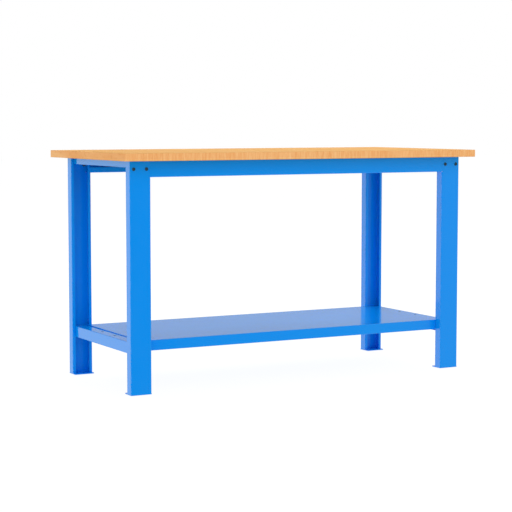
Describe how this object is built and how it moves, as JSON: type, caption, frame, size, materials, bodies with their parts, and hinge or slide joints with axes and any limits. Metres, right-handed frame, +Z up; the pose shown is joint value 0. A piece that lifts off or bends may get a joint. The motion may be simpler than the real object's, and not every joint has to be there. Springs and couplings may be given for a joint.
{
  "type": "assembly table",
  "caption": "Workshop assembly table: a thick wooden top on a bolted frame of folded, blue-painted sheet steel, with channel legs, foot plates and a sheet-metal lower shelf.",
  "frame": {"origin": "on the floor, below the middle of the work top", "axes": "+X along the bench to the right, +Y from the front to the rear, +Z up"},
  "size_m": [1.478, 0.712, 0.855],
  "materials": {
    "blue_paint": "glossy powder-coated sheet steel, sky blue",
    "work_top_wood": "oiled beech board, eased edges",
    "black_steel": "blackened steel button-head bolts, countersunk screws and nuts",
    "zinc_steel": "zinc-plated wood screws"
  },
  "bodies": {
    "root": {"front_beam": "blue_paint", "front_left_bolt_1": "black_steel", "front_left_bolt_2": "black_steel", "front_left_foot_plate": "blue_paint", "front_left_leg": "blue_paint", "front_left_nut_1": "black_steel", "front_left_nut_2": "black_steel", "front_left_splice_plate": "blue_paint", "front_right_bolt_1": "black_steel", "front_right_bolt_2": "black_steel", "front_right_foot_plate": "blue_paint", "front_right_leg": "blue_paint", "front_right_nut_1": "black_steel", "front_right_nut_2": "black_steel", "front_right_splice_plate": "blue_paint", "left_lower_rail": "blue_paint", "left_shelf_bracket": "blue_paint", "left_shelf_nut_front": "black_steel", "left_shelf_nut_rear": "black_steel", "left_shelf_screw_front": "black_steel", "left_shelf_screw_rear": "black_steel", "left_top_rail": "blue_paint", "left_top_screw_1": "zinc_steel", "left_top_screw_2": "zinc_steel", "left_top_screw_3": "zinc_steel", "left_top_screw_4": "zinc_steel", "rear_beam": "blue_paint", "rear_left_bolt_1": "black_steel", "rear_left_bolt_2": "black_steel", "rear_left_foot_plate": "blue_paint", "rear_left_leg": "blue_paint", "rear_left_nut_1": "black_steel", "rear_left_nut_2": "black_steel", "rear_left_splice_plate": "blue_paint", "rear_right_bolt_1": "black_steel", "rear_right_bolt_2": "black_steel", "rear_right_foot_plate": "blue_paint", "rear_right_leg": "blue_paint", "rear_right_nut_1": "black_steel", "rear_right_nut_2": "black_steel", "rear_right_splice_plate": "blue_paint", "right_lower_rail": "blue_paint", "right_shelf_bracket": "blue_paint", "right_shelf_nut_front": "black_steel", "right_shelf_nut_rear": "black_steel", "right_shelf_screw_front": "black_steel", "right_shelf_screw_rear": "black_steel", "right_top_rail": "blue_paint", "right_top_screw_1": "zinc_steel", "right_top_screw_2": "zinc_steel", "right_top_screw_3": "zinc_steel", "right_top_screw_4": "zinc_steel", "shelf": "blue_paint", "shelf_stiffener": "blue_paint", "work_top": "work_top_wood"}
  },
  "joints": []
}
